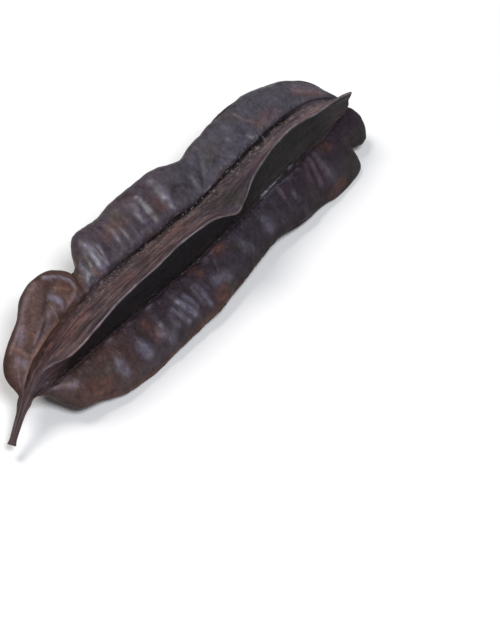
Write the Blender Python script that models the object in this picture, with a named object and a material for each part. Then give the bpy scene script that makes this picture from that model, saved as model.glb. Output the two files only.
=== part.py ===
"""One dried aridan pod, the fruit of Tetrapleura tetraptera, with its stalk, lying on a surface.

The pod has four wings that stand out in a cross: two thick ones full of pulp, wrinkled crosswise, and two
thin woody ones. The whole pod is one skin. It is made of loops round a line that runs from the cut end of
the stalk to the tip. Each loop goes out and back along every wing in turn, and meets the next wing in the
crease between them. Lengths are in millimetres in the formulas, and the mesh is in metres.
"""

import math

import bpy
import bmesh
import numpy as np

MM = 0.001

# Driving sizes, in millimetres. Along the pod, 0 is where the wings start and POD_LENGTH is the tip.
POD_LENGTH = 178.0
STALK_LENGTH = 20.0
STALK_RADIUS = 1.15
STALK_END_RADIUS = 1.6
STALK_ROOT_RADIUS = 2.9
TIP_RADIUS = 0.8
RIB_PITCH = 5.6
RIB_HEIGHT = 0.42
CREST_HEIGHT = 1.1
CREST_WIDTH = 2.6
WOODY_EDGE_HALF_THICKNESS = 0.65

# How the pod lies: turned about its length, tipped end to end, and worn flat where it rests.
LIE_ROLL_DEG = 37.0
LIE_PITCH_DEG = 0.53
FLAT_DEPTH = 0.35

# The middle line: (place, how far along, towards the upper pulpy wing, towards the upper woody wing).
MIDDLE_LINE = (
    (-20, -15.0, -11.8, -3.9), (-10, -7.4, -6.4, -1.9), (0, 0, -1.8, -0.2), (6, 6, 0, 0.2),
    (15, 15, 1.6, 0.6), (30, 30, 2.8, 1.2), (60, 60, 3.0, 2.0), (90, 90, 2.5, 2.2), (120, 120, 4.0, 1.8),
    (145, 145, 4.8, 1.0), (165, 165, 3.4, 0.4), (178, 176.2, 0.4, -0.4),
)

# The crease between two wings: how far it is from the middle line, first along the pulpy wings and then
# along the woody ones, by place along the pod.
CREASE_OUT = (
    (-3, 1.1), (3, 3.4), (7, 5.0), (18, 7.2), (30, 7.9), (80, 8.5), (92, 7.6), (136, 8.1), (155, 7.0),
    (168, 4.8), (178, 1.4),
)
CREASE_UP = ((-3, 1.1), (5, 1.9), (20, 3.6), (60, 4.3), (130, 4.2), (160, 3.2), (178, 1.0))

# Each wing's outline, as (place along the pod at the crease, how much further along the edge lies, reach).
LOWER_PULPY_EDGE = (
    (-3, 0, 1.5), (-0.5, 0.4, 2.6), (2.5, 1.2, 6.4), (5, 1.4, 11.4), (10, 1.2, 18.0), (18.5, 1, 22.8),
    (30, 0.4, 27.4), (44, 0, 29.2), (58, 0, 28.4), (77, 0, 27.6), (91, 0, 25.8), (104, 0, 24.2), (114, 0, 23.4),
    (127.5, 0, 25.8), (141, 0.4, 27.4), (148, 0.8, 28.6), (157, 2.0, 27.4), (161.5, 3.8, 24.0),
    (163.5, 3.0, 17.0), (165.5, 5.4, 18.4), (168, 5.6, 17.4), (171, 5.2, 13.4), (173.5, 4.4, 8.4),
    (175.5, 2.4, 4.2), (178, 0, 1.6),
)
UPPER_PULPY_EDGE = (
    (-3, 0.6, 1.6), (-0.8, -0.4, 5.0), (1.8, -1.4, 10.4), (4.6, -1.8, 13.4), (8.6, -1.8, 15.8), (14, -1, 18.4),
    (20.5, -0.4, 23.0), (26, 0, 24.4), (31, 0.2, 23.8), (36.5, 0, 21.0), (40.5, 0.4, 17.0), (42.5, 1.2, 18.2),
    (44.6, 2.0, 23.4), (47.5, 2.4, 26.2), (54, 2.2, 26.4), (60, 1.6, 25.9), (73, 0.4, 26.9), (88, 0, 27.2),
    (97, 0, 24.0), (103, 0, 22.4), (111, 0, 23.8), (125, 0, 24.3), (141, 0, 23.3), (152.5, 0, 21.1),
    (161.5, 0.6, 17.3), (167.5, 1.8, 12.2), (172, 1.2, 6.0), (176, 0, 2.6), (178, 0, 1.4),
)
UPPER_WOODY_EDGE = (
    (-3, 0, 1.5), (0, 0, 3.0), (6, 0, 8.0), (12, 0, 13.4), (20, 0, 17.8), (32, 0, 20.6), (60, 0, 22.0),
    (90, 0, 21.6), (100, 0, 22.4), (118, 0, 21.2), (142, 0, 20.0), (156, 0, 17.8), (164, 1.0, 15.0),
    (168.5, 3.0, 12.6), (170.2, 3.4, 11.0), (171.6, 1.2, 7.4), (175, 0.4, 4.0), (178, 0, 1.6),
)
LOWER_WOODY_EDGE = (
    (-3, 0, 1.5), (2, 0, 4.2), (8, 0, 10.2), (18, 0, 16.8), (34, 0, 20.6), (60, 0, 22.4), (91, 0, 24.3),
    (124, 0, 22.2), (150, 0, 19.8), (163, 0.4, 16.0), (170, 1.6, 10.8), (174, 1.0, 5.0), (178, 0, 1.6),
)

# How far each wing's edge waves sideways, as (place along the pod, offset towards the next wing round).
UPPER_WOODY_WAVE = (
    (0, 0), (6, -1.8), (12, 0.5), (15, 1.4), (19, 1.4), (24.6, 0.8), (31, -0.2), (38, -1.3), (46, -1.6),
    (56, -1.6), (70, -2.4), (80, -2.0), (87, -1.2), (92, 1.0), (95.5, 2.6), (101, 1.2), (108.5, -2.0),
    (117, -3.9), (127, -5.2), (136, -5.4), (144, -4.1), (152, -2.9), (165, -2.4), (172, -1.4), (178, 0),
)
LOWER_WOODY_WAVE = ((0, 0), (25, 1.6), (55, -1.4), (92, 0.4), (118, 2.4), (145, -1.6), (176, 0))
LOWER_PULPY_WAVE = ((0, 0), (20, -0.4), (45, 0.8), (85, -1.4), (115, -1.0), (150, 1.2), (178, 0))
UPPER_PULPY_WAVE = ((0, 0), (12, 1.6), (30, 2.2), (42, 0.6), (55, -0.6), (103, 1.0), (150, -0.6), (178, 0))

# Half the thickness of the two pulpy wings, by place along the pod.
LOWER_PULPY_THICKNESS = (
    (-3, 1.1), (4, 3.0), (14, 5.6), (35, 6.6), (80, 6.8), (114, 5.8), (138, 6.0), (156, 4.4), (164, 3.0),
    (178, 1.0),
)
UPPER_PULPY_THICKNESS = (
    (-3, 1.1), (4, 3.6), (12, 6.4), (28, 7.6), (37, 6.4), (41.5, 4.6), (46, 6.0), (56, 6.8), (88, 6.9),
    (103, 5.4), (120, 6.2), (148, 5.2), (162, 3.6), (178, 1.0),
)

# The places of the high crests, for the four pulpy faces, in the order in which a loop meets them.
CRESTS = (
    (12.5, 32.6, 42.5, 52.8, 65, 73, 86, 100.5, 118, 131, 147),
    (20, 31, 41, 58, 62, 83, 98, 121, 140, 151),
    (17, 29, 50, 57, 74, 93, 106, 126, 138),
    (43.6, 50.5, 77, 86.8, 100.5, 124, 150),
)

# How the loops are cut up: steps from a crease to a wing's edge, and places along the stalk.
PULPY_STEPS = 6
WOODY_STEPS = 5
STALK_LOOPS = 6
RIB_LOOPS = 4

COLOUR = (0.045, 0.027, 0.024, 1.0)

# Each wing: its direction round the pod in quarter turns, its outline, its wave and a pulpy one's thickness.
WINGS = (
    (0, UPPER_WOODY_EDGE, UPPER_WOODY_WAVE, None),
    (1, LOWER_PULPY_EDGE, LOWER_PULPY_WAVE, LOWER_PULPY_THICKNESS),
    (2, LOWER_WOODY_EDGE, LOWER_WOODY_WAVE, None),
    (3, UPPER_PULPY_EDGE, UPPER_PULPY_WAVE, UPPER_PULPY_THICKNESS),
)


def smooth(keys, place, column=1):
    """The value at each place of the smooth curve through the keys, which never overshoots them."""
    x = np.array([k[0] for k in keys], float)
    y = np.array([k[column] for k in keys], float)
    step = np.diff(x)
    slope = np.diff(y) / step
    tangent = np.zeros(len(x))
    same_way = slope[:-1] * slope[1:] > 0
    before = np.where(same_way, slope[:-1], 1.0)
    after = np.where(same_way, slope[1:], 1.0)
    weighted = (step[:-1] + step[1:]) * before * after / (step[:-1] * before + step[1:] * after)
    tangent[1:-1] = np.where(same_way, weighted, 0.0)
    at = np.clip(np.asarray(place, float), x[0], x[-1])
    i = np.clip(np.searchsorted(x, at, side="right") - 1, 0, len(step) - 1)
    t = (at - x[i]) / step[i]
    return (
        y[i] * (1 + 2 * t) * (1 - t) ** 2
        + tangent[i] * step[i] * t * (1 - t) ** 2
        + y[i + 1] * t * t * (3 - 2 * t)
        + tangent[i + 1] * step[i] * t * t * (t - 1)
    )


def rib_turns(place):
    """How many ribs there are up to this place. Their spacing wanders, as wrinkles do."""
    return place / RIB_PITCH + 0.42 * np.sin(place / 11.0) + 0.25 * np.sin(place / 5.3 + 1.0)


def relief(place, face):
    """The height of the crosswise wrinkles of one pulpy face: even ribs, and crests that stand above them."""
    ribs = 2 * np.abs(np.cos(math.pi * (rib_turns(place) + face / 4))) ** 0.8 - 1
    drift = 0.8 + 0.2 * np.sin(place / 9.0 + 2.1 * face)
    crests = sum(np.exp(-(((place - crest) / CREST_WIDTH) ** 2)) for crest in CRESTS[face])
    ends = np.clip(place / 12, 0, 1) * np.clip((170 - place) / 14, 0, 1)
    return (RIB_HEIGHT * drift * ribs + CREST_HEIGHT * np.minimum(crests, 1) * (0.7 + 0.3 * drift)) * ends


def pulpy_outline(step, reach, thickness, crease_out, crease_up, height):
    """(out, across) for a point of a pulpy wing, step from 0 at the crease to 1 at the edge."""
    x = (1 - math.cos(math.pi * step)) / 2
    shoulder = math.sqrt(1 - (1 - min(x / 0.2, 1)) ** 2)
    narrowing = (1 - x**3.2) ** 0.55
    across = (crease_up + (thickness - crease_up) * shoulder) * narrowing + height * shoulder * (1 - x**2)
    return crease_out + (reach - crease_out) * x, across


def woody_outline(step, reach, crease_up, crease_out):
    """(out, across) for a point of a woody wing, whose flanks run up from the creases to a thin edge."""
    x = (1 - math.cos(math.pi * step)) / 2
    plate = min(WOODY_EDGE_HALF_THICKNESS, 0.5 * crease_out)
    across = plate * (1 - x**8) ** 0.5 + (crease_out - plate) * (1 - x) ** 1.7
    return crease_up + (reach - crease_up) * x, across


def ring_steps():
    """The points of one loop, as (wing, side, step): side -1 before the wing's edge, 1 after it."""
    ring = []
    for wing in WINGS:
        steps = WOODY_STEPS if wing[3] is None else PULPY_STEPS
        ring += [(wing, -1, i / steps) for i in range(steps)]
        ring += [(wing, 1, 1 - i / steps) for i in range(steps)]
    return ring


def loop_places():
    """Places along the pod for its loops: four to a rib, so that each crest and valley has its own."""
    dense = np.linspace(0, POD_LENGTH - 1.2, 4000)
    turns = rib_turns(dense)
    quarters = np.arange(math.ceil(turns[0] * RIB_LOOPS), math.floor(turns[-1] * RIB_LOOPS) + 1) / RIB_LOOPS
    body = np.interp(quarters, turns, dense)
    stalk = np.linspace(-STALK_LENGTH, -1.6, STALK_LOOPS)
    return np.concatenate([stalk, body, [POD_LENGTH]])


def middle_point(place):
    """A point of the middle line, in the pod's own frame: along, to the lower pulpy wing, up the woody one."""
    along, pulpy, woody = (float(smooth(MIDDLE_LINE, place, column)) for column in (1, 2, 3))
    return np.array([along, pulpy, woody])


def frame_at(place):
    """(middle, forward, side, up) at a place. The loops stand square to the pod and to the stalk's bend."""
    middle = middle_point(place)
    bend = middle_point(min(place + 0.5, POD_LENGTH)) - middle_point(max(place - 0.5, -STALK_LENGTH))
    straight = min(max(place / 10, 0), 1)
    forward = bend / np.linalg.norm(bend) * (1 - straight) + np.array([straight, 0, 0])
    forward = forward / np.linalg.norm(forward)
    side = np.cross(forward, (0.0, 0.0, 1.0))
    side = side / np.linalg.norm(side)
    return middle, forward, side, np.cross(side, forward)


def lie_matrix():
    """Turns the pod's own frame to the one it lies in."""
    roll, pitch = math.radians(LIE_ROLL_DEG), math.radians(LIE_PITCH_DEG)
    turn = np.array([[1, 0, 0], [0, math.cos(roll), -math.sin(roll)], [0, math.sin(roll), math.cos(roll)]])
    tip = np.array([[math.cos(pitch), 0, math.sin(pitch)], [0, 1, 0], [-math.sin(pitch), 0, math.cos(pitch)]])
    return tip @ turn


def loop_points(place, ring):
    """One loop round the middle line."""
    middle, forward, side, up = frame_at(place)
    round_keys = (
        (-STALK_LENGTH, STALK_END_RADIUS), (-STALK_LENGTH + 4, STALK_RADIUS), (-9, STALK_RADIUS * 1.15),
        (0, STALK_ROOT_RADIUS), (POD_LENGTH - 4, 1.6), (POD_LENGTH, TIP_RADIUS),
    )
    stalk = smooth(round_keys, place)
    winged = smooth(((-5, 0), (1, 1), (POD_LENGTH - 2, 1), (POD_LENGTH, 0)), place)
    crease_out = smooth(CREASE_OUT, place)
    crease_up = smooth(CREASE_UP, place)
    points = []
    for (turns, edge, wave, thickness), hand, step in ring:
        reach = smooth(edge, place, 2)
        if thickness is None:
            out, across = woody_outline(step, reach, crease_up, crease_out)
        else:
            face = turns - 1 + (hand > 0)
            height = relief(place, face)
            out, across = pulpy_outline(step, reach, smooth(thickness, place), crease_out, crease_up, height)
        x = (1 - math.cos(math.pi * step)) / 2
        across = across * hand + smooth(wave, place) * x * x
        round_angle = math.radians(45) * (1 - step) * hand
        out = winged * out + (1 - winged) * stalk * math.cos(round_angle)
        across = winged * across + (1 - winged) * stalk * math.sin(round_angle)
        angle = math.pi / 2 * turns
        outward = math.cos(angle) * up + math.sin(angle) * side
        onward = -math.sin(angle) * up + math.cos(angle) * side
        along = winged * smooth(edge, place, 1) * x
        points.append(middle + forward * along + outward * out + onward * across)
    return points


def pod_points():
    """Every loop's points, in millimetres, turned to the way the pod lies but not yet set down."""
    ring = ring_steps()
    return np.array([loop_points(place, ring) for place in loop_places()]) @ lie_matrix().T


def pod_mesh():
    rows = pod_points() * MM
    rows[..., 2] -= rows[..., 2].min() + FLAT_DEPTH * MM
    mesh = bmesh.new()
    loops = [[mesh.verts.new(p) for p in row] for row in rows]
    count = len(loops[0])
    for near, far in zip(loops, loops[1:]):
        for i in range(count):
            j = (i + 1) % count
            mesh.faces.new((near[i], near[j], far[j], far[i]))
    mesh.faces.new(list(reversed(loops[0])))
    mesh.faces.new(loops[-1])
    bmesh.ops.triangulate(mesh, faces=mesh.faces[:])
    cut = bmesh.ops.bisect_plane(mesh, geom=mesh.verts[:] + mesh.edges[:] + mesh.faces[:], dist=1e-6,
                                 plane_co=(0, 0, 0), plane_no=(0, 0, -1), clear_outer=True)
    rims = [e for e in cut["geom_cut"] if isinstance(e, bmesh.types.BMEdge)]
    bmesh.ops.edgenet_fill(mesh, edges=rims)
    bmesh.ops.triangulate(mesh, faces=mesh.faces[:])
    bmesh.ops.recalc_face_normals(mesh, faces=mesh.faces[:])
    corners = np.array([v.co for v in mesh.verts])
    middle = (corners.min(0) + corners.max(0)) / 2
    for v in mesh.verts:
        v.co.x -= middle[0]
        v.co.y -= middle[1]
    return mesh


def skin_material():
    material = bpy.data.materials.new("pod_skin")
    material.use_nodes = True
    shader = material.node_tree.nodes["Principled BSDF"]
    shader.inputs["Base Color"].default_value = COLOUR
    shader.inputs["Roughness"].default_value = 0.45
    shader.inputs["Metallic"].default_value = 0.0
    return material


def make_pod():
    data = bpy.data.meshes.new("pod")
    mesh = pod_mesh()
    mesh.to_mesh(data)
    mesh.free()
    data.materials.append(skin_material())
    data.shade_smooth()
    data.set_sharp_from_angle(angle=math.radians(50))
    pod = bpy.data.objects.new("pod", data)
    bpy.context.scene.collection.objects.link(pod)
    return pod


def main():
    for old in list(bpy.data.objects):
        bpy.data.objects.remove(old)
    make_pod()


main()
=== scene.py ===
"""The looks of one dried aridan pod, lying on a pale floor in soft studio light.

A finer skin takes the place of the plain solid. It is made by the same rule, of loops round a line from
the cut end of the stalk to the tip, and it has the wrinkles, grooves and fibres that the solid is too
coarse for. Lengths in the pod's formulas are in millimetres. A place is the distance along the pod from
where the wings start, so it is below 0 on the stalk.
"""

import math
from collections import namedtuple

import bpy
import numpy as np
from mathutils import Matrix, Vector

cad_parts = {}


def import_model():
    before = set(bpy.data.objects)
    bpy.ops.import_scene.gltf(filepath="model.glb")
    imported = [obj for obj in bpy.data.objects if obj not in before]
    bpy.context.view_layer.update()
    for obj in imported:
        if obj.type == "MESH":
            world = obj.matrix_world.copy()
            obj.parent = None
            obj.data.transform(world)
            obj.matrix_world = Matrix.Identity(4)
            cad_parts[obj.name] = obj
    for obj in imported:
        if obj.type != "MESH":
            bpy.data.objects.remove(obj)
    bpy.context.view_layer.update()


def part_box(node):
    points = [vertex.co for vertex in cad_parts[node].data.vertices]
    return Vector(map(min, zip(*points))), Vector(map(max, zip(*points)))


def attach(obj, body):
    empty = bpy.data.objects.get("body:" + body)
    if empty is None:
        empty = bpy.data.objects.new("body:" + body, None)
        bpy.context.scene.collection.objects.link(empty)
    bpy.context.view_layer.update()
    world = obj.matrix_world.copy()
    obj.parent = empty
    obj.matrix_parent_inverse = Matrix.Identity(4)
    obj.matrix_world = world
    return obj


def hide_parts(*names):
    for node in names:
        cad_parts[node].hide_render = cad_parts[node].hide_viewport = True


MM = 0.001

# The solid's own sizes, and how it lies: rolled, tipped end to end, and worn flat where it rests.
POD_LENGTH = 178.0
STALK_LENGTH = 20.0
STALK_RADIUS = 1.15
STALK_END_RADIUS = 1.6
STALK_ROOT_RADIUS = 2.9
TIP_RADIUS = 0.8
RIB_PITCH = 5.6
RIB_HEIGHT = 0.24
CREST_HEIGHT = 1.1
CREST_WIDTH = 2.6
WOODY_EDGE_HALF_THICKNESS = 0.65
LIE_ROLL_DEG = 37.0
LIE_PITCH_DEG = 0.53
FLAT_DEPTH = 0.35

# The radius of the round stalk and tip by place, and how far the wings' own shape takes over from it.
ROUND_RADIUS = (
    (-STALK_LENGTH, STALK_END_RADIUS), (-STALK_LENGTH + 4, STALK_RADIUS), (-9, STALK_RADIUS * 1.15),
    (0, STALK_ROOT_RADIUS), (POD_LENGTH - 4, 1.6), (POD_LENGTH, TIP_RADIUS),
)
WINGED = ((-5, 0), (1, 1), (POD_LENGTH - 2, 1), (POD_LENGTH, 0))

# The middle line: (place, how far along, towards the upper pulpy wing, towards the upper woody wing).
MIDDLE_LINE = (
    (-20, -15.0, -11.8, -3.9), (-10, -7.4, -6.4, -1.9), (0, 0, -1.8, -0.2), (6, 6, 0, 0.2),
    (15, 15, 1.6, 0.6), (30, 30, 2.8, 1.2), (60, 60, 3.0, 2.0), (90, 90, 2.5, 2.2), (120, 120, 4.0, 1.8),
    (145, 145, 4.8, 1.0), (165, 165, 3.4, 0.4), (178, 176.2, 0.4, -0.4),
)

# How far the creases are from the middle line, first along the pulpy wings and then along the woody ones.
CREASE_OUT = (
    (-3, 1.1), (3, 3.4), (7, 5.0), (18, 7.2), (30, 7.9), (80, 8.5), (92, 7.6), (136, 8.1), (155, 7.0),
    (168, 4.8), (178, 1.4),
)
CREASE_UP = ((-3, 1.1), (5, 1.9), (20, 3.6), (60, 4.3), (130, 4.2), (160, 3.2), (178, 1.0))

# Each wing's outline: (place at the crease, how much further along the edge lies, reach).
LOWER_PULPY_EDGE = (
    (-3, 0, 1.5), (-0.5, 0.4, 2.6), (2.5, 1.2, 6.4), (5, 1.4, 11.4), (10, 1.2, 18.0), (18.5, 1, 22.8),
    (30, 0.4, 27.4), (44, 0, 29.2), (58, 0, 28.4), (77, 0, 27.6), (91, 0, 25.8), (104, 0, 24.2),
    (114, 0, 23.4), (127.5, 0, 25.8), (141, 0.4, 27.4), (148, 0.8, 28.6), (157, 2.0, 27.4),
    (161.5, 3.8, 24.0), (163.5, 3.0, 17.0), (165.5, 5.4, 18.4), (168, 5.6, 17.4), (171, 5.2, 13.4),
    (173.5, 4.4, 8.4), (175.5, 2.4, 4.2), (178, 0, 1.6),
)
UPPER_PULPY_EDGE = (
    (-3, 0.6, 1.6), (-0.8, -0.4, 5.0), (1.8, -1.4, 10.4), (4.6, -1.8, 13.4), (8.6, -1.8, 15.8),
    (14, -1, 18.4), (20.5, -0.4, 23.0), (26, 0, 24.4), (31, 0.2, 23.8), (36.5, 0, 21.0), (40.5, 0.4, 17.0),
    (42.5, 1.2, 18.2), (44.6, 2.0, 23.4), (47.5, 2.4, 26.2), (54, 2.2, 26.4), (60, 1.6, 25.9),
    (73, 0.4, 26.9), (88, 0, 27.2),
    (97, 0, 24.0), (103, 0, 22.4), (111, 0, 23.8), (125, 0, 24.3), (141, 0, 23.3), (152.5, 0, 21.1),
    (161.5, 0.6, 17.3), (167.5, 1.8, 12.2), (172, 1.2, 6.0), (176, 0, 2.6), (178, 0, 1.4),
)
UPPER_WOODY_EDGE = (
    (-3, 0, 1.5), (0, 0, 3.0), (6, 0, 8.0), (12, 0, 13.4), (20, 0, 17.8), (32, 0, 20.6), (60, 0, 22.0),
    (90, 0, 21.6), (100, 0, 22.4), (118, 0, 21.2), (142, 0, 20.0), (156, 0, 17.8), (164, 1.0, 15.0),
    (168.5, 3.0, 12.6), (170.2, 3.4, 11.0), (171.6, 1.2, 7.4), (175, 0.4, 4.0), (178, 0, 1.6),
)
LOWER_WOODY_EDGE = (
    (-3, 0, 1.5), (2, 0, 4.2), (8, 0, 10.2), (18, 0, 16.8), (34, 0, 20.6), (60, 0, 22.4), (91, 0, 24.3),
    (124, 0, 22.2), (150, 0, 19.8), (163, 0.4, 16.0), (170, 1.6, 10.8), (174, 1.0, 5.0), (178, 0, 1.6),
)

# How far each wing's edge waves towards the next wing round, by place.
UPPER_WOODY_WAVE = (
    (0, 0), (6, -1.8), (12, 0.5), (15, 1.4), (19, 1.4), (24.6, 0.8), (31, -0.2), (38, -1.3), (46, -1.6),
    (56, -1.6), (70, -2.4), (80, -2.0), (87, -1.2), (92, 1.0), (95.5, 2.6), (101, 1.2), (108.5, -2.0),
    (117, -3.9), (127, -5.2), (136, -5.4), (144, -4.1), (152, -2.9), (165, -2.4), (172, -1.4), (178, 0),
)
LOWER_WOODY_WAVE = ((0, 0), (25, 1.6), (55, -1.4), (92, 0.4), (118, 2.4), (145, -1.6), (176, 0))
LOWER_PULPY_WAVE = ((0, 0), (20, -0.4), (45, 0.8), (85, -1.4), (115, -1.0), (150, 1.2), (178, 0))
UPPER_PULPY_WAVE = ((0, 0), (12, 1.6), (30, 2.2), (42, 0.6), (55, -0.6), (103, 1.0), (150, -0.6), (178, 0))

# Half the thickness of the pulpy wings, by place.
LOWER_PULPY_THICKNESS = (
    (-3, 1.1), (4, 3.0), (14, 5.6), (35, 6.6), (80, 6.8), (114, 5.8), (138, 6.0), (156, 4.4), (164, 3.0),
    (178, 1.0),
)
UPPER_PULPY_THICKNESS = (
    (-3, 1.1), (4, 3.6), (12, 6.4), (28, 7.6), (37, 6.4), (41.5, 4.6), (46, 6.0), (56, 6.8), (88, 6.9),
    (103, 5.4), (120, 6.2), (148, 5.2), (162, 3.6), (178, 1.0),
)

# The places of the high crests: a row for each of the faces in PULPY_FACES.
CRESTS = (
    (12.5, 32.6, 42.5, 52.8, 65, 73, 86, 100.5, 118, 131, 147),
    (20, 31, 41, 58, 62, 83, 98, 121, 140, 151),
    (17, 29, 50, 57, 74, 93, 106, 126, 138),
    (43.6, 50.5, 77, 86.8, 100.5, 124, 150),
)

# Each wing: its direction round the pod in quarter turns, its outline, its wave and its thickness, if pulpy.
WINGS = (
    (0, UPPER_WOODY_EDGE, UPPER_WOODY_WAVE, None),
    (1, LOWER_PULPY_EDGE, LOWER_PULPY_WAVE, LOWER_PULPY_THICKNESS),
    (2, LOWER_WOODY_EDGE, LOWER_WOODY_WAVE, None),
    (3, UPPER_PULPY_EDGE, UPPER_PULPY_WAVE, UPPER_PULPY_THICKNESS),
)

# The upper woody wing has faces 0 and 1, the lower pulpy one 2 and 3, the lower woody one 4 and 5, and the
# upper pulpy one 6 and 7. Four of them are seen: the bark, the valley under it, dark with painted shade, and
# one of each pulpy wing. A pulpy face is about FACE_WIDTH wide from its crease to the edge.
WOODY_FACES = (0, 1, 4, 5)
PULPY_FACES = (2, 3, 6, 7)
BARK, VALLEY, LOWER, UPPER = 0, 1, 2, 7
FACE_WIDTH = 18.0

# Where points are: place, fraction of the way from the crease to the edge (x), distances, and face.
Spot = namedtuple("Spot", "place x from_crease to_edge face")
# Which points are on a woody wing, and which on each of the four faces that are seen.
Sides = namedtuple("Sides", "woody bark valley lower upper")

# Single ridges and folds: (face, start, end, half width, height in millimetres, how tan, how much painted
# highlight). Folds, below 0 in height, also get painted shade. Here and in the tables below, a start or end
# is (place, fraction of the way to the edge).
RIDGES = (
    (7, (28.6, 0.9), (32.6, 0.76), 0.65, 0.6, 0.1, 1.6),
    (7, (32.6, 0.76), (35.0, 0.6), 0.65, 0.7, 0.1, 1.7),
    (7, (35.0, 0.6), (35.0, 0.32), 0.65, 0.7, 0.2, 1.5),
    (7, (35.0, 0.32), (31.8, 0.18), 0.65, 0.6, 0.5, 1.0),
    (7, (28.8, 0.61), (32.2, 0.4), 0.6, 0.3, 0.5, 0.0),
    (7, (25.5, 0.52), (27.0, 0.32), 1.2, 0.4, 0.1, 1.2),
    (7, (27.0, 0.32), (26.2, 0.1), 0.7, 0.5, 0.2, 0.8),
    (7, (28.4, 0.3), (28.6, 0.08), 0.45, -0.5, 0.0, 0.0),
    (7, (23.6, 0.42), (22.6, 0.14), 0.6, 0.4, 0.3, 0.5),
    (7, (32.9, 0.2), (33.2, 0.04), 0.6, 0.4, 0.4, 0.5),
    (7, (24.0, 0.3), (20.5, 0.34), 1.6, 0.3, 0.2, 0.5),
    (7, (31.8, 0.18), (26.4, 0.08), 0.6, 0.4, 0.6, 0.7),
    (7, (22.5, 0.06), (14.7, 0.1), 0.9, 0.7, 0.8, 0.1),
    (7, (14.7, 0.1), (8.3, 0.14), 0.9, 0.8, 1.0, 0.1),
    (7, (8.3, 0.14), (1.5, 0.12), 0.9, 0.6, 0.7, 0.3),
    (7, (19.0, 0.39), (10.9, 0.31), 0.8, 0.35, 0.3, 0.6),
    (7, (28.5, 0.74), (16.5, 0.26), 1.6, -0.5, 0.0, 0.0),
    (7, (7.0, 0.91), (7.4, 0.22), 0.7, 0.3, 0.5, 0.2),
    (7, (5.2, 0.55), (0.5, 0.3), 0.8, 0.35, 0.3, 0.4),
    (7, (25.0, 0.93), (16.0, 0.94), 0.8, 0.25, 0.45, 0.7),
    (7, (16.0, 0.94), (6.5, 0.88), 0.8, 0.25, 0.5, 0.9),
    (7, (12.4, 0.86), (9.2, 0.76), 1.3, 0.1, 0.0, 0.8),
    (7, (4.6, 0.62), (5.4, 0.26), 1.4, 0.0, 0.3, 0.9),
    (7, (44.0, 0.4), (46.0, 0.02), 0.5, -0.3, 0.6, 0.0),
    (7, (41.0, 0.22), (42.6, 0.85), 0.9, 0.4, 0.0, 0.9),
    (7, (47.6, 0.12), (47.4, 0.72), 1.2, 0.4, 0.0, 0.85),
    (7, (50.2, 0.16), (50.6, 0.6), 0.8, 0.35, 0.0, 0.6),
    (7, (56.2, 0.16), (56.8, 0.18), 0.8, 0.2, 0.0, 0.7),
    (7, (59.6, 0.44), (59.8, 0.56), 1.6, 0.2, 0.0, 0.4),
    (7, (72.2, 0.36), (73.4, 0.7), 1.3, 0.3, 0.0, 0.5),
    (7, (75.4, 0.4), (76.6, 0.74), 1.1, 0.25, 0.0, 0.4),
    (7, (84.8, 0.18), (84.8, 0.46), 0.8, 0.4, 0.0, 1.0),
    (7, (84.8, 0.46), (85.4, 0.84), 1.7, 0.3, 0.0, 0.5),
    (7, (98.6, 0.1), (98.5, 0.38), 1.2, 0.3, 0.0, 0.7),
    (7, (99.5, 0.12), (108, 0.83), 1.0, -0.45, 0.0, 0.0),
    (7, (131.1, 0.83), (131.6, 0.6), 0.4, 0.15, 0.6, 0.3),
    (7, (131.6, 0.6), (134.5, 0.38), 0.4, 0.15, 0.45, 0.1),
    (7, (134.5, 0.38), (139.0, 0.12), 0.5, 0.1, 0.3, 0.0),
    (7, (158.5, 0.55), (168.0, 0.4), 1.6, 0.0, 0.35, 0.4),
    (2, (7.8, 0.09), (12.0, 0.28), 2.1, 0.4, 0.4, 1.0),
    (2, (29.8, 0.48), (30.4, 0.64), 2.0, 0.3, 0.0, 0.9),
    (2, (41.0, 0.45), (41.8, 0.61), 1.8, 0.35, 0.0, 1.1),
    (2, (50.2, 0.5), (52.8, 0.68), 1.9, 0.3, 0.0, 0.7),
    (2, (56.4, 0.44), (57.4, 0.6), 1.6, 0.2, 0.0, 0.5),
    (2, (59.4, 0.36), (62.2, 0.7), 1.0, 0.35, 0.0, 1.0),
    (2, (62.6, 0.32), (65.6, 0.68), 1.2, 0.45, 0.0, 1.0),
    (2, (66.0, 0.3), (68.0, 0.58), 1.1, 0.25, 0.0, 0.6),
    (2, (70.6, 0.28), (70.8, 0.68), 0.5, 0.25, 0.0, 0.5),
    (2, (72.4, 0.3), (73.2, 0.74), 1.0, 0.25, 0.0, 0.6),
    (2, (74.6, 0.24), (75.6, 0.5), 0.5, 0.2, 0.0, 0.3),
    (2, (81.6, 0.02), (82.4, 0.05), 1.1, 0.2, 0.1, 0.5),
    (2, (84.6, 0.06), (82.4, 0.38), 0.7, -0.35, 0.0, 0.0),
    (2, (80.4, 0.46), (84.6, 0.58), 1.9, 0.3, 0.0, 0.85),
    (2, (98.5, 0.3), (99.5, 0.6), 1.6, 0.3, 0.0, 0.3),
    (2, (111.6, 0.42), (112.4, 0.68), 2.4, 0.2, 0.0, 0.5),
    (2, (118.5, 0.03), (127.5, 0.04), 0.45, 0.2, 0.0, 0.7),
    (2, (127.5, 0.04), (137.5, 0.07), 0.35, 0.2, 0.1, 0.4),
    (2, (125.4, 0.1), (124.8, 0.32), 0.7, 0.2, 0.3, 0.3),
    (2, (141.0, 0.1), (138.6, 0.4), 0.9, 0.25, 0.14, 0.15),
    (2, (144.0, 0.08), (141.9, 0.62), 1.0, 0.3, 0.18, 0.25),
    (2, (145.8, 0.1), (144.0, 0.55), 0.5, -0.35, 0.0, 0.0),
    (2, (147.5, 0.1), (146.0, 0.5), 0.9, 0.3, 0.18, 0.25),
)

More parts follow.
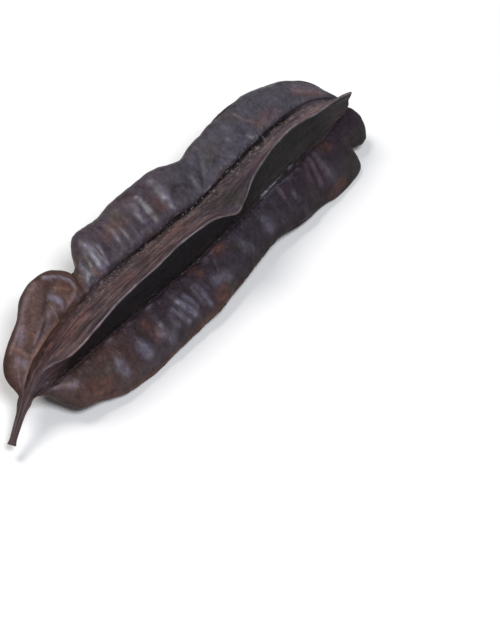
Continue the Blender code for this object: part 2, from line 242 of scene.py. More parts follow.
# Soft red-brown patches: (face, start, end, half width).
RUSTY = (
    (0, (49, 0.45), (52, 0.42), 2.2),
    (0, (76, 0.22), (81, 0.3), 2.6),
    (0, (116, 0.66), (134, 0.74), 2.2),
    (0, (150, 0.5), (163, 0.5), 2.2),
    (2, (16, 0.62), (20, 0.95), 4.0),
    (2, (47.6, 0.25), (48.6, 0.5), 2.2),
    (2, (20, 0.99), (60, 0.99), 0.8),
    (2, (60, 0.97), (92, 0.95), 1.1),
    (2, (75.7, 0.06), (76.0, 0.16), 1.8),
    (2, (77, 0.84), (81, 0.74), 2.4),
    (2, (88.4, 0.04), (90.5, 0.12), 2.6),
    (2, (144, 0.95), (151, 0.86), 2.2),
    (2, (152.4, 0.1), (154.4, 0.18), 1.7),
    (7, (55, 0.6), (57.6, 0.68), 1.8),
    (7, (60, 0.62), (64, 0.68), 2.0),
    (7, (70.5, 0.04), (73, 0.06), 1.3),
    (7, (80.6, 0.5), (81.2, 0.38), 1.9),
    (7, (99, 0.03), (109, 0.03), 1.4),
    (7, (136, 0.3), (145, 0.24), 2.4),
    (7, (159, 0.5), (166, 0.2), 2.4),
)

# Soft darker (below 1) and lighter patches: (face, start, end, half width, brightness). Some are painted
# light and shade.
PATCHES = (
    (0, (101, 0.4), (109, 0.75), 4.5, 0.55),
    (0, (51.2, 0.1), (52.4, 0.35), 1.8, 0.75),
    (0, (133, 0.5), (158, 0.5), 5.0, 1.5),
    (0, (157, 0.3), (167, 0.45), 4.5, 1.45),
    (7, (161, 0.72), (167, 0.6), 2.4, 1.5),
    # Painted shade: these two darken the lower wing's edge.
    (2, (86, 0.95), (100, 0.92), 3.5, 0.5),
    (2, (102, 0.98), (150, 0.96), 2.5, 0.7),
    # Painted light: this one lifts the cushion by its crease.
    (7, (29.5, 0.12), (29.5, 0.5), 2.6, 1.3),
    (7, (41.5, 0.42), (42.0, 0.6), 2.2, 0.6),
    (7, (97.5, 0.35), (98.5, 0.8), 3.0, 0.68),
)

# Bluish white fibres, made brighter as a painted highlight: (face, start, end, half width, how strong).
FIBRES = (
    (1, (117.9, 0.03), (126.5, 0.045), 0.6, 1.0),
    (1, (126.5, 0.045), (131.0, 0.05), 0.5, 0.4),
    (1, (134.5, 0.05), (136.5, 0.06), 0.6, 0.6),
    (7, (128.6, 0.26), (129.6, 0.1), 0.45, 0.35),
    (7, (131.2, 0.05), (131.8, 0.12), 0.4, 0.3),
    (7, (100.6, 0.05), (103.0, 0.07), 0.5, 0.35),
)

# Where the pale flecks beside the creases are thicker: (face, start, end, half width).
FLECK_CLUMPS = (
    (0, (40, 0.03), (47, 0.05), 1.3),
    (7, (118, 0.06), (132, 0.09), 1.4),
)

# How far the ribs fade out on the upper pulpy face: the cushion by the stalk, and the smooth lobe at the tip.
CALM = ((0, 1), (33, 1), (40, 0), (102, 0), (116, 0.55), (150, 0.75), (178, 0.5))

# The dark groove of each crease, the fill beside the first bulge, and the raised fibres, in millimetres.
CREASE_CUT = 0.8
CREASE_FILL = 0.8
FIBRE_HEIGHT = 0.5

# The fine skin: points from a crease to a wing's edge, and loops along the stalk and the pod.
PULPY_STEPS = 37
WOODY_STEPS = 25
STALK_LOOPS = 30
BODY_LOOPS = 362

# The camera looks down on the pod from its stalk end and front, as in the photograph.
CAMERA_TARGET = (-0.00688, -0.03844, 0.018)
CAMERA_PLACE = (-0.39759, -0.36628, 0.6592)
CAMERA_LENS = 135.0
SENSOR_WIDTH = 36.0
NEAREST_SEEN = 0.01

# The floor is just under the pod, so that the pod's flat spots don't flicker in it.
FLOOR_HALF_SIZE = 2.5
FLOOR_DROP = 0.0001
FLOOR_COLOURS = ((0.83, 0.83, 0.82, 1), (0.86, 0.86, 0.85, 1))

# Soft lights: (name, place, size, power, colour). The world fills in the rest.
LIGHTS = (
    ("key", (-0.4, -0.84, 1.7), 0.6, 28.8, (0.93, 0.95, 1.0)),
    ("back", (-0.2, 0.7, 1.7), 0.8, 20.0, (1.0, 0.97, 0.95)),
)
LIGHT_TARGET = (0, 0, 0.015)
WORLD_COLOUR = (0.93, 0.95, 1.0, 1)
WORLD_STRENGTH = 0.14

# The pulpy wings' colours.
PLUM = (0.066, 0.049, 0.063, 1)
BROWN = (0.094, 0.052, 0.045, 1)
DARK = (0.020, 0.013, 0.015, 1)
RUST = (0.135, 0.058, 0.041, 1)
# Waxy bloom and painted highlight, laid on the crests and ridges.
BLOOM_AND_HIGHLIGHT = (0.22, 0.208, 0.282, 1)
SLATE = (0.076, 0.072, 0.092, 1)
OLIVE = (0.062, 0.050, 0.036, 1)
EDGE = (0.042, 0.017, 0.013, 1)

# The bark's colours.
BARK_GREY = (0.058, 0.043, 0.050, 1)
BARK_BROWN = (0.142, 0.092, 0.089, 1)
STREAK_DARK = (0.036, 0.020, 0.021, 1)
STREAK_PALE = (0.20, 0.145, 0.15, 1)
THREAD_PALE = (0.28, 0.195, 0.19, 1)
THREAD_DARK = (0.026, 0.016, 0.016, 1)
BARK_SLATE = (0.080, 0.075, 0.106, 1)
BARK_RUST = (0.155, 0.080, 0.068, 1)
BARK_MARGIN = (0.046, 0.038, 0.036, 1)
LIP_PALE = (0.30, 0.255, 0.295, 1)
LIP_DARK = (0.030, 0.022, 0.026, 1)

# The colours of marks on both, and of the stalk.
MOSS = (0.036, 0.036, 0.031, 1)
TAN = (0.24, 0.125, 0.080, 1)
# Painted shade in the creases' grooves.
CREASE_SHADE = (0.007, 0.005, 0.005, 1)
FLECK = (0.27, 0.23, 0.215, 1)
FIBRE_AND_HIGHLIGHT = (0.62, 0.62, 0.68, 1)
STALK_DARK = (0.055, 0.038, 0.041, 1)
STALK_PALE = (0.15, 0.105, 0.10, 1)

# Tints, which multiply the colour that they are laid on.
# Painted shade on the whole lower pulpy wing.
LOWER_WING_SHADE_TINT = (0.56, 0.47, 0.53, 1)
WARM_TINT = (1.0, 0.75, 0.71, 1)
# Painted shade: the valley face under the bark, as if the bark shaded it.
VALLEY_SHADE_TINT = (0.062, 0.060, 0.070, 1)
LINE_TINT = (0.55, 0.5, 0.5, 1)
MOTTLE_TINT = (0.45, 0.40, 0.40, 1)


def smooth(keys, place, column=1):
    """The value at each place of the smooth curve through the keys, which never overshoots them."""
    x = np.array([k[0] for k in keys], float)
    y = np.array([k[column] for k in keys], float)
    step = np.diff(x)
    slope = np.diff(y) / step
    tangent = np.zeros(len(x))
    same_way = slope[:-1] * slope[1:] > 0
    before = np.where(same_way, slope[:-1], 1.0)
    after = np.where(same_way, slope[1:], 1.0)
    weighted = (step[:-1] + step[1:]) * before * after / (step[:-1] * before + step[1:] * after)
    tangent[1:-1] = np.where(same_way, weighted, 0.0)
    at = np.clip(np.asarray(place, float), x[0], x[-1])
    i = np.clip(np.searchsorted(x, at, side="right") - 1, 0, len(step) - 1)
    t = (at - x[i]) / step[i]
    return (
        y[i] * (1 + 2 * t) * (1 - t) ** 2
        + tangent[i] * step[i] * t * (1 - t) ** 2
        + y[i + 1] * t * t * (3 - 2 * t)
        + tangent[i + 1] * step[i] * t * t * (t - 1)
    )


def noise(u, v, seed):
    """Smooth noise from -1 to 1 on a plane, with one bump to each unit. The seed fixes it."""
    table = np.random.default_rng(seed).random((256, 256)) * 2 - 1
    i, j = np.floor(u).astype(int), np.floor(v).astype(int)
    a, b = u - i, v - j
    a, b = a * a * (3 - 2 * a), b * b * (3 - 2 * b)
    i, j, k, m = i & 255, j & 255, (i + 1) & 255, (j + 1) & 255
    low = table[i, j] * (1 - a) + table[k, j] * a
    high = table[i, m] * (1 - a) + table[k, m] * a
    return low * (1 - b) + high * b


def ridged(u, v, seed):
    """Noise with sharp crests, from 0 to 1."""
    return 1 - np.abs(noise(u, v, seed))


def bump(x, centre, width):
    """1 at the centre, falling softly to 0 on both sides."""
    return np.exp(-(((x - centre) / width) ** 2))


def ramp(value, *keys):
    """Straight lines through the keys, each (value, result)."""
    return np.interp(value, *zip(*keys))


def share(value):
    """The value, kept between 0 and 1."""
    return np.clip(value, 0, 1)


def rib_turns(place):
    """How many ribs there are up to each place. They are drawn together and apart a little."""
    return place / RIB_PITCH + 0.42 * np.sin(place / 11.0) + 0.25 * np.sin(place / 5.3 + 1.0)


def relief(place, row):
    """The solid's crosswise wrinkles, with lower ribs: even ribs, and a row of CRESTS above them."""
    ribs = 2 * np.abs(np.cos(math.pi * (rib_turns(place) + row / 4))) ** 0.8 - 1
    drift = 0.8 + 0.2 * np.sin(place / 9.0 + 2.1 * row)
    crests = sum(bump(place, crest, CREST_WIDTH) for crest in CRESTS[row])
    ends = share(place / 12) * share((170 - place) / 14)
    return (RIB_HEIGHT * drift * ribs + CREST_HEIGHT * np.minimum(crests, 1) * (0.7 + 0.3 * drift)) * ends


def middle_point(place):
    return np.stack([smooth(MIDDLE_LINE, place, column) for column in (1, 2, 3)], -1)


def unit(vectors):
    return vectors / np.linalg.norm(vectors, axis=-1, keepdims=True)


def frame_at(place):
    """(middle, forward, side, up) at each place, as rows."""
    ahead = middle_point(np.minimum(place + 0.5, POD_LENGTH))
    behind = middle_point(np.maximum(place - 0.5, -STALK_LENGTH))
    straight = share(place / 10)[:, None]
    forward = unit(unit(ahead - behind) * (1 - straight) + straight * np.array([1.0, 0, 0]))
    side = unit(np.cross(forward, (0.0, 0.0, 1.0)))
    return middle_point(place), forward, side, np.cross(side, forward)


def lie_matrix():
    """Turns the pod about its length, and tips it end to end, to the way that it lies."""
    roll, pitch = math.radians(LIE_ROLL_DEG), math.radians(LIE_PITCH_DEG)
    c, s = math.cos(roll), math.sin(roll)
    turn = np.array([[1, 0, 0], [0, c, -s], [0, s, c]])
    c, s = math.cos(pitch), math.sin(pitch)
    tip = np.array([[c, 0, s], [0, 1, 0], [-s, 0, c]])
    return tip @ turn


def ring_layout():
    """For each point of a loop: its wing, its hand (-1 before the edge, 1 after it), its step to the edge."""
    wing, hand, step = [], [], []
    for number, data in enumerate(WINGS):
        steps = WOODY_STEPS if data[3] is None else PULPY_STEPS
        wing += [number] * (2 * steps)
        hand += [-1] * steps + [1] * steps
        step += [i / steps for i in range(steps)] + [1 - i / steps for i in range(steps)]
    return np.array(wing), np.array(hand), np.array(step)


def skin_places():
    """The loops' places: close together over the pod, and drawn in at its two ends."""
    stalk = np.linspace(-STALK_LENGTH, 0, STALK_LOOPS, endpoint=False)
    t = np.linspace(0, 1, BODY_LOOPS)
    body = POD_LENGTH * (t - 0.55 * np.sin(2 * math.pi * t) / (2 * math.pi))
    return np.concatenate([stalk, body])


def woody_wing(x, hand, reach, crease_out, crease_up):
    """How far out and across a thin wing's points are."""
    plate = np.minimum(WOODY_EDGE_HALF_THICKNESS, 0.5 * crease_out)
    across = plate * (1 - x**8) ** 0.5 + (crease_out - plate) * (1 - x) ** 1.7
    return crease_up + (reach - crease_up) * x, across * hand


def pulpy_wing(place, x, hand, reach, crease_out, crease_up, turns, thickness):
    """How far out and across a thick wing's points are, with its crosswise wrinkles."""
    shoulder = np.sqrt(1 - (1 - np.minimum(x / 0.2, 1)) ** 2)
    narrowing = (1 - x**3.2) ** 0.55
    slanted = place + wrinkle_slant(place, x, turns)
    face = 2 * turns + (hand > 0)
    height = np.where(hand > 0, relief(slanted, turns), relief(slanted, turns - 1))
    height = height * np.where(face == UPPER, 1 - 0.8 * smooth(CALM, place), 1)
    height = height * np.where(face == LOWER, 0.35, 0.55) ** (1 - share((x - 0.12) / 0.28))
    thick = smooth(thickness, place)
    across = (crease_up + (thick - crease_up) * shoulder) * narrowing + height * shoulder * (1 - x**2)
    return crease_out + (reach - crease_out) * x, across * hand


def coarse_skin(place, wing, hand, step):
    """The solid's own form at the fine skin's points, in millimetres in the pod's frame."""
    middle, forward, side, up = (rows[:, None] for rows in frame_at(place))
    place = place[:, None]
    round_radius, winged = smooth(ROUND_RADIUS, place), smooth(WINGED, place)
    creases = smooth(CREASE_OUT, place), smooth(CREASE_UP, place)
    points = np.zeros((len(place), len(wing), 3))
    for number, (turns, edge, wave, thickness) in enumerate(WINGS):
        mine = wing == number
        x, h, s = fraction(step)[mine][None], hand[mine][None], step[mine][None]
        reach = smooth(edge, place, 2)
        if thickness is None:
            out, across = woody_wing(x, h, reach, *creases)
        else:
            out, across = pulpy_wing(place, x, h, reach, *creases, turns, thickness)
        across = across + smooth(wave, place) * x * x
        round_angle = math.radians(45) * (1 - s) * h
        out = winged * out + (1 - winged) * round_radius * np.cos(round_angle)
        across = winged * across + (1 - winged) * round_radius * np.sin(round_angle)
        along = winged * smooth(edge, place, 1) * x
        angle = math.pi / 2 * turns
        outward = math.cos(angle) * up + math.sin(angle) * side
        onward = -math.sin(angle) * up + math.cos(angle) * side
        points[:, mine] = (
            middle + forward * along[..., None] + outward * out[..., None] + onward * across[..., None]
        )
    return points


def fraction(step):
    """How far a step is on the way from a crease to the wing's edge. The steps are short at both ends."""
    return (1 - np.cos(math.pi * step)) / 2


def wrinkle_slant(place, x, turns):
    """How far a crosswise wrinkle strays along the pod on its way to the wing's edge."""
    return 0.9 * noise(place / 21, x * 1.6, 40 + turns) + 0.5 * noise(place / 7, x * 4, 50 + turns)


def grid_normals(points):
    """The outward direction at each point of the loops, which close on themselves across but not along."""
    across = np.roll(points, -1, 1) - np.roll(points, 1, 1)
    along = np.gradient(points, axis=0)
    return unit(np.cross(across, along) + 1e-9)


def crease_distance(points, wing):
    """How far each point is, along its loop, from its wing's nearer crease and from the wing's edge."""
    ahead = np.linalg.norm(np.roll(points, -1, 1) - points, axis=2)
    run = np.concatenate([np.zeros((len(points), 1)), np.cumsum(ahead, 1)], 1)
    from_crease = np.zeros(points.shape[:2])
    to_edge = np.zeros(points.shape[:2])
    for number in range(len(WINGS)):
        mine = np.where(wing == number)[0]
        first, last = mine[0], mine[-1] + 1
        here = run[:, mine]
        from_crease[:, mine] = np.minimum(here - run[:, first:first + 1], run[:, last:last + 1] - here)
        middle = (first + last) // 2
        to_edge[:, mine] = np.abs(here - run[:, middle:middle + 1])
    return from_crease, to_edge


def locate(place, wing, hand, step, points):
    """The Spot of the points, as arrays of a row for each loop."""
    shape = (len(place), len(wing))
    from_crease, to_edge = crease_distance(points, wing)
    return Spot(
        np.broadcast_to(place[:, None], shape),
        np.broadcast_to(fraction(step), shape),
        from_crease,
        to_edge,
        np.broadcast_to(wing * 2 + (hand > 0), shape),
    )


def stroke(spot, face, start, end, width):
    """A soft line on one face between two points, each (place, fraction of the way to the edge)."""
    scale = np.array([1.0, FACE_WIDTH])
    a, b = np.array(start) * scale, np.array(end) * scale
    here = np.stack([spot.place, spot.x * FACE_WIDTH], -1) - a
    t = share(here @ (b - a) / ((b - a) @ (b - a)))
    away = np.linalg.norm(here - t[..., None] * (b - a), axis=-1)
    return bump(away, 0, width) * (spot.face == face)


def crest_height(spot):
    """The solid's ribs and crests at each point, in millimetres, and the crests alone as sharp ridges."""
    ribs, ridges = np.zeros(spot.x.shape), np.zeros(spot.x.shape)
    for row, face in enumerate(PULPY_FACES):
        mine = spot.face == face
        slanted = spot.place + wrinkle_slant(spot.place, spot.x, face // 2)
        ribs = np.where(mine, relief(slanted, row), ribs)
        ridges = np.where(mine, sum(bump(slanted, crest, 1.2) for crest in CRESTS[row]), ridges)
    return ribs, ridges


def sides_of(spot):
    """The Sides of the points."""
    seen = (spot.face == face for face in (BARK, VALLEY, LOWER, UPPER))
    return Sides(np.isin(spot.face, WOODY_FACES), *seen)


def body_share(spot):
    """1 on the winged pod, fading to 0 at the stalk and at the tip."""
    return share(spot.place / 8) * share((POD_LENGTH - spot.place) / 8)


def single_marks(spot):
    """What the single ridges and folds add: height in millimetres, tan, painted highlight and the folds'
    painted shade.
    """
    up, down, tan, pale = (np.zeros(spot.x.shape) for _ in range(4))
    for face, start, end, width, height, tan_share, highlight_share in RIDGES:
        line = stroke(spot, face, start, end, width)
        up = np.maximum(up, height * line)
        down = np.minimum(down, height * line)
        tan = np.maximum(tan, tan_share * line)
        pale = np.maximum(pale, highlight_share * line)
    return up + down, tan, pale, share(-2 * down)


def pulpy_detail(spot, lane):
    """The height in millimetres of the pulpy wings' fine wrinkles, dents and folds."""
    p, x, c = spot.place, spot.x, spot.from_crease
    q = p + 1.3 * noise(p / 8, x * 3 + lane, 1) + 0.4 * noise(p / 2.6, x * 7 + lane, 2)
    patches = share(0.3 + 1.3 * noise(p / 12 + 7, x * 2.2 + lane, 3))
    wrinkles = ridged(q / 2.6, x * 1.8 + lane, 4) ** 2
    height = (
        0.42 * noise(p / 9.5, c / 9 + lane, 7)
        + 0.18 * (wrinkles - 0.5) * patches
        + 0.18 * noise(p / 3.6, c / 3.4 + lane, 6)
        + 0.07 * noise(p / 1.6, c / 1.6 + lane, 5)
        + 0.16 * crest_height(spot)[1] * bump(x, 0.5, 0.28) * (0.6 + 0.4 * noise(p / 9, x * 3 + lane, 8))
    )
    knobs = (spot.face == LOWER) * bump(c, 1.5, 1.1) * noise(p / 2.2, 0.3 * x + lane, 17)
    cushion = (spot.face == UPPER) * bump(p, 22, 15)
    fold = (spot.face == UPPER) * bump(p, 37.6 + 2.3 * x, 1.1) * np.clip(x * 5, 0.25, 1)
    return (height + 0.5 * knobs) * (1 - 0.5 * cushion) - 1.2 * fold


def bark_detail(spot, lane):
    """The height in millimetres of the woody wings' lengthwise streaks, rough margin and gathers."""
    p, x, c = spot.place, spot.x, spot.from_crease
    streaks = ridged(p / 30, x * 8 + lane + 0.5 * noise(p / 20, lane, 12), 9) ** 2
    fibres = ridged(p / 11, x * 15 + lane, 10) ** 2
    margin = bump(c, 2.2, 1.8) * (noise(p / 1.5, c / 1.1 + lane, 15) + 0.6 * noise(p / 5, lane, 16))
    gathers = bump(p, 95, 7) * ridged(p / 2.3, x * 1.2 + lane, 13) ** 2 * share(x * 1.5 - 0.4)
    crinkle = noise(p / 3.4, c / 3.0 + lane, 11)
    return 0.34 * (streaks - 0.45) + 0.2 * (fibres - 0.4) + 0.14 * crinkle + 0.4 * margin + 0.6 * gathers


def fine_relief(spot):
    """The height in millimetres of what the solid leaves out, and how far a woody edge is frilled."""
    lane = spot.face * 17.3
    woody = sides_of(spot).woody
    body = body_share(spot)
    thin = np.where(woody, share(1.1 - 0.7 * bump(spot.to_edge, 0, 1.2)), 1.0)
    detail = np.where(woody, bark_detail(spot, lane), pulpy_detail(spot, lane))
    marks = share(spot.place / 2) * single_marks(spot)[0]
    filled = np.isin(spot.face, (BARK, UPPER)) * ramp(spot.place, (3, 0), (8, 1), (30, 1), (40, 0))
    groove = CREASE_CUT * bump(spot.from_crease, 0, 0.7) * body * (1 - filled)
    height = body * thin * detail + marks - groove
    height = height + CREASE_FILL * bump(spot.from_crease, 0, 1.4) * filled
    height = height + FIBRE_HEIGHT * sum(part * stroke(spot, *line) for *line, part in FIBRES)
    turn = np.linspace(0, 2 * math.pi, spot.x.shape[1])
    stalk_ridges = 0.3 * np.cos(7 * turn + 0.05 * spot.place) * bump(spot.place, -7, 11)
    height = height + stalk_ridges * (1 - body)
    frill = 0.3 * noise(spot.place / 2.2, lane, 14) * share((spot.x - 0.8) * 5)
    return height, frill * body * woody


def lower_edge_shade(spot, on):
    """The painted shade on the lower pulpy wing, darker as it turns down to its edge."""
    darker = ramp(spot.place, (30, 0.1), (60, 0.7), (90, 0.7), (110, 2.1))
    return on.lower * ramp(spot.x, (0.6, 0), (0.95, 1)) * darker


def tone_masks(spot, on):
    """The masks of the broad tones, warm by the stalk and on bare edges and cooler and mossier to the tip,
    and of the lower wing's painted shade.
    """
    p, x, e = spot.place, spot.x, spot.to_edge
    bare = np.where(spot.face >= 6, ramp(p, (36, 1), (48, 0.15)), ramp(p, (94, 1), (110, 0.3)))
    warm = share((44 - p) / 8) * np.where(on.upper, 1.0, 0.6)
    reddish = ramp(p, (4, 0.3), (10, 1), (22, 1), (40, 0))
    reddish = reddish * np.where(on.bark, ramp(x, (0.3, 1), (0.5, 0.5), (0.65, 0)), 1)
    warm = np.where(on.woody, reddish, np.maximum(warm, bump(e, 0, 4.0) * bare))
    cool = np.select(
        [on.upper, on.lower, on.bark],
        [
            ramp(p, (82, 0), (98, 1)),
            ramp(p, (84, 0), (92, 1), (122, 1), (132, 0.3)),
            ramp(p, (85, 0), (110, 1)) * ramp(x, (0.4, 0.6), (0.8, 1.4)),
        ],
        0.5,
    )
    speckle = share(0.8 + 0.6 * noise(p / 2.5, x * 4, 25))
    moss = np.select(
        [on.valley, on.lower, on.bark],
        [
            ramp(p, (102, 0), (122, 0.6)),
            ramp(p, (148, 0), (156, 0.8)) * ramp(x, (0.4, 0), (0.7, 1)),
            bump(p, 99.5, 6.5) * ramp(x, (0.2, 0), (0.5, 1.1)) * speckle,
        ],
        0.0,
    )
    patch = np.ones(x.shape)
    for *line, brightness in PATCHES:
        patch = patch * (1 + (brightness - 1) * stroke(spot, *line))
    half = 0.5 + 0.5 * share(spot.from_crease / 0.9)
    return {
        "woody": np.where(on.woody, half, 1 - half),
        "stalk": share(-p / 6),
        "warm": share(warm),
        "cool": cool,
        "edge": np.where(on.woody, 0, bump(e, 0, np.where(on.lower, 4.0, 3.0)) * bare),
        # Painted shade: the lower pulpy wing's seen face is darker and redder from place 24 on.
        "deep": on.lower * ramp(p, (24, 0.1), (48, 0.85), (88, 0.85), (108, 1)),
        "rusty": np.clip(sum(stroke(spot, *line) for line in RUSTY), 0, np.where(on.upper, 0.45, 1)),
        "moss": moss,
        "patch": patch,
    }


def mark_masks(spot, on):
    """The masks of the pulpy wings' painted highlights on crests, painted shade in hollows, folds and at the
    lower edge, and tan lines.
    """
    p, x, c = spot.place, spot.x, spot.from_crease
    shown = on.lower | on.upper
    ribs, ridges = crest_height(spot)
    raised = share(ridges + 0.4 * ribs)
    _, tan, marked, dark = single_marks(spot)
    # Painted highlights on the crests, and stronger on the ridges listed in RIDGES.
    crests = raised * np.clip(0.25 + 0.8 * noise(p / 6, x * 2.5 + spot.face, 23), 0, 0.6)
    pale = np.where(shown & (p < 108), marked, np.maximum(marked, crests * np.where(shown, 0.5, 1)))
    # Painted light on the upper wing's shoulder by its crease.
    pale = np.maximum(pale * np.where(on.lower, 1.15, 1), 0.22 * on.upper * bump(x, 0.16, 0.1))
    pale = pale * share(0.85 + 0.4 * noise(p / 2.0, c / 2.0, 21)) * (1 - on.woody)
    # Painted highlights: pale beads where the ribs end by the lower wing's crease.
    rib_ends = on.lower * bump(c, 1.5, 0.9) * raised**1.5 * ramp(p, (6, 0), (16, 1), (84, 1), (100, 0))
    pale = np.maximum(pale, 1.2 * rib_ends * share(0.6 + 0.9 * noise(p / 5, p / 9, 27)))
    gum = 0.6 * on.upper * bump(c, 0.8, 1.8) * ramp(p, (2, 0), (6, 1), (32, 1), (37, 0))
    # Painted shade: darker in the hollows between the ribs.
    rib_hollow_shade = share(-0.25 - 1.2 * ribs) * (1 - on.woody)
    return {
        "pale": share(pale),
        "dip": np.maximum(rib_hollow_shade, np.maximum(dark, lower_edge_shade(spot, on))),
        "tan": share(np.maximum(tan, np.maximum(0.15 * rib_ends, gum))),
    }


def crease_masks(spot, on):
    """The masks of the creases' painted shade with their margins and flecks, and of the bark's edge, the
    valley's painted shade, and the fibres with their painted highlight.
    """
    p, x, c, e = spot.place, spot.x, spot.from_crease, spot.to_edge
    body = body_share(spot)
    lip = bump(e, 0.4, 0.5) * (0.8 + 0.35 * noise(p / 4, np.zeros_like(p), 24))
    lip = lip - 0.9 * bump(e, 1.6, 0.5) + 0.5 * bump(e, 2.6, 0.4)
    lip = lip * on.woody * body * ramp(p, (10, 0.4), (45, 0.85), (80, 0.8), (95, 0.4), (118, 0.6), (135, 1))

    wide = 1.25 + on.bark * ramp(p, (60, 0), (80, 0.5), (105, 0.6), (115, 2.4), (145, 2.2), (160, 0))
    wide = wide + on.upper * ramp(p, (108, 0), (118, 0.3), (145, 0.3), (155, 0))
    groove = ramp(p, (142, 1), (168, 0.3)) * np.where(on.lower | on.valley, 0.7, 1)
    groove = groove * np.where(on.upper, ramp(p, (28, 0), (36, 0.6), (45, 0.6), (75, 1)), 1)
    groove = groove * np.where(on.bark, ramp(p, (20, 0.1), (45, 0.6), (75, 1)), 1)
    margin_place = 2.6 + 1.2 * on.bark * ramp(p, (84, 0), (100, 1))
    margin = bump(c, margin_place, margin_place - 1)
    clumps = sum(stroke(spot, *line) for line in FLECK_CLUMPS)

    # Painted shade: the valley under the bark goes nearly black, lighter by the crease, to the tip and in
    # patches.
    flank = on.valley * ramp(p, (6, 0), (16, 1)) * ramp(p, (150, 1), (168, 0.3)) * share(e - 0.2)
    low = 0.18 * (1 - x) * ramp(p, (108, 0), (124, 1))
    lighter_shade_patches = bump(c, 3.6, 4) * ramp(p, (108, 0), (118, 1), (138, 1), (148, 0))
    lighter_shade_patches = lighter_shade_patches * share(0.5 + 1.2 * noise(p / 3, c / 2.2, 26))
    flank = flank * (ramp(c, (0.8, 0.68), (3, 0.9), (12, 1)) - low) * (1 - 0.36 * lighter_shade_patches)
    fibrous = sum(part * stroke(spot, *line) for *line, part in FIBRES)
    return {
        # Painted shade: the creases' grooves are coloured nearly black, wider and darker along the bark.
        "crease": bump(c + 0.4 * noise(p / 1.8, spot.face * 1.7, 22), 0, wide) * body * groove,
        "margin": margin * body * np.where(on.bark, ramp(p, (20, 0.3), (40, 1)), 1),
        "flecked": ramp(p, (135, 1), (155, 0.2)) * (1 + 1.5 * clumps) * np.where(on.lower, 0.4, 1),
        "lip": 0.5 + 0.5 * lip,
        "flank": flank,
        "fibrous": share(fibrous * share(0.9 + 0.5 * noise(p / 1.4, c / 0.8, 28))),
    }


def skin_masks(spot):
    """What the material reads at each point: shares of about 0 to 1, and for "patch" a brightness."""
    on = sides_of(spot)
    masks = tone_masks(spot, on) | mark_masks(spot, on) | crease_masks(spot, on)
    shoulder = on.lower * bump(spot.x, 0.14, 0.26)
    shine = (1 - on.woody) * (1 - 0.85 * masks["edge"]) * (1 - 0.85 * masks["warm"]) * (1 - 0.75 * shoulder)
    shine = shine * np.where(on.lower, ramp(spot.place, (96, 1), (112, 0.5)), 1)
    masks["shine"] = shine * share(1 - 0.5 * lower_edge_shade(spot, on))
    return masks


def put_down(points, shift):
    """The points as the pod lies, pressed flat on the floor, and shifted to where the solid is."""
    laid = points @ lie_matrix().T * MM + shift
    laid[..., 2] = np.maximum(laid[..., 2], 0.0)
    return laid


def loop_faces(loops, around):
    """The faces between the loops, and a fan over each end, from two points that come after the loops'."""
    faces = []
    for i in range(loops - 1):
        a, b = i * around, (i + 1) * around
        faces += [(a + j, a + (j + 1) % around, b + (j + 1) % around, b + j) for j in range(around)]
    cut, tip, last = loops * around, loops * around + 1, (loops - 1) * around
    faces += [(cut, (j + 1) % around, j) for j in range(around)]
    faces += [(tip, last + j, last + (j + 1) % around) for j in range(around)]
    return faces


def make_skin(box):
    """The fine skin, laid down in the solid's box."""
    place = skin_places()
    wing, hand, step = ring_layout()
    coarse = coarse_skin(place, wing, hand, step)
    spot = locate(place, wing, hand, step, coarse)
    height, frill = fine_relief(spot)
    points = coarse + grid_normals(coarse) * height[..., None]
    points[:, wing == 0, 2] += frill[:, wing == 0]
    corners = (coarse @ lie_matrix().T * MM).reshape(-1, 3)
    shift = (np.array(box[0]) + np.array(box[1])) / 2 - (corners.min(0) + corners.max(0)) / 2
    shift[2] = -corners[:, 2].min() - FLAT_DEPTH * MM
    laid = put_down(points, shift)
    vertices = np.concatenate([laid.reshape(-1, 3), laid[0].mean(0)[None], laid[-1].mean(0)[None]])
    data = bpy.data.meshes.new("pod_fine_skin")
    data.from_pydata(vertices.tolist(), [], loop_faces(*laid.shape[:2]))
    data.update()
    add_attributes(data, spot)
    data.shade_smooth()
    skin = bpy.data.objects.new("pod_fine_skin", data)
    bpy.context.scene.collection.objects.link(skin)
    return skin


def add_attributes(data, spot):
    """Stores each mask, and the place along and across the pod in centimetres, on the points."""
    for name, values in skin_masks(spot).items():
        layer = data.attributes.new(name, "FLOAT", "POINT")
        flat = np.concatenate([values.ravel(), [values[0].mean(), values[-1].mean()]])
        layer.data.foreach_set("value", flat.astype(np.float32))
    across = np.where(np.isin(spot.face, WOODY_FACES), spot.x * 2.2, spot.from_crease / 10)
    grain = np.stack([spot.place / 10, across, spot.face * 1.73], -1).reshape(-1, 3)
    grain = np.concatenate([grain, grain[:1], grain[-1:]])
    layer = data.attributes.new("grain", "FLOAT_VECTOR", "POINT")
    layer.data.foreach_set("vector", grain.astype(np.float32).ravel())


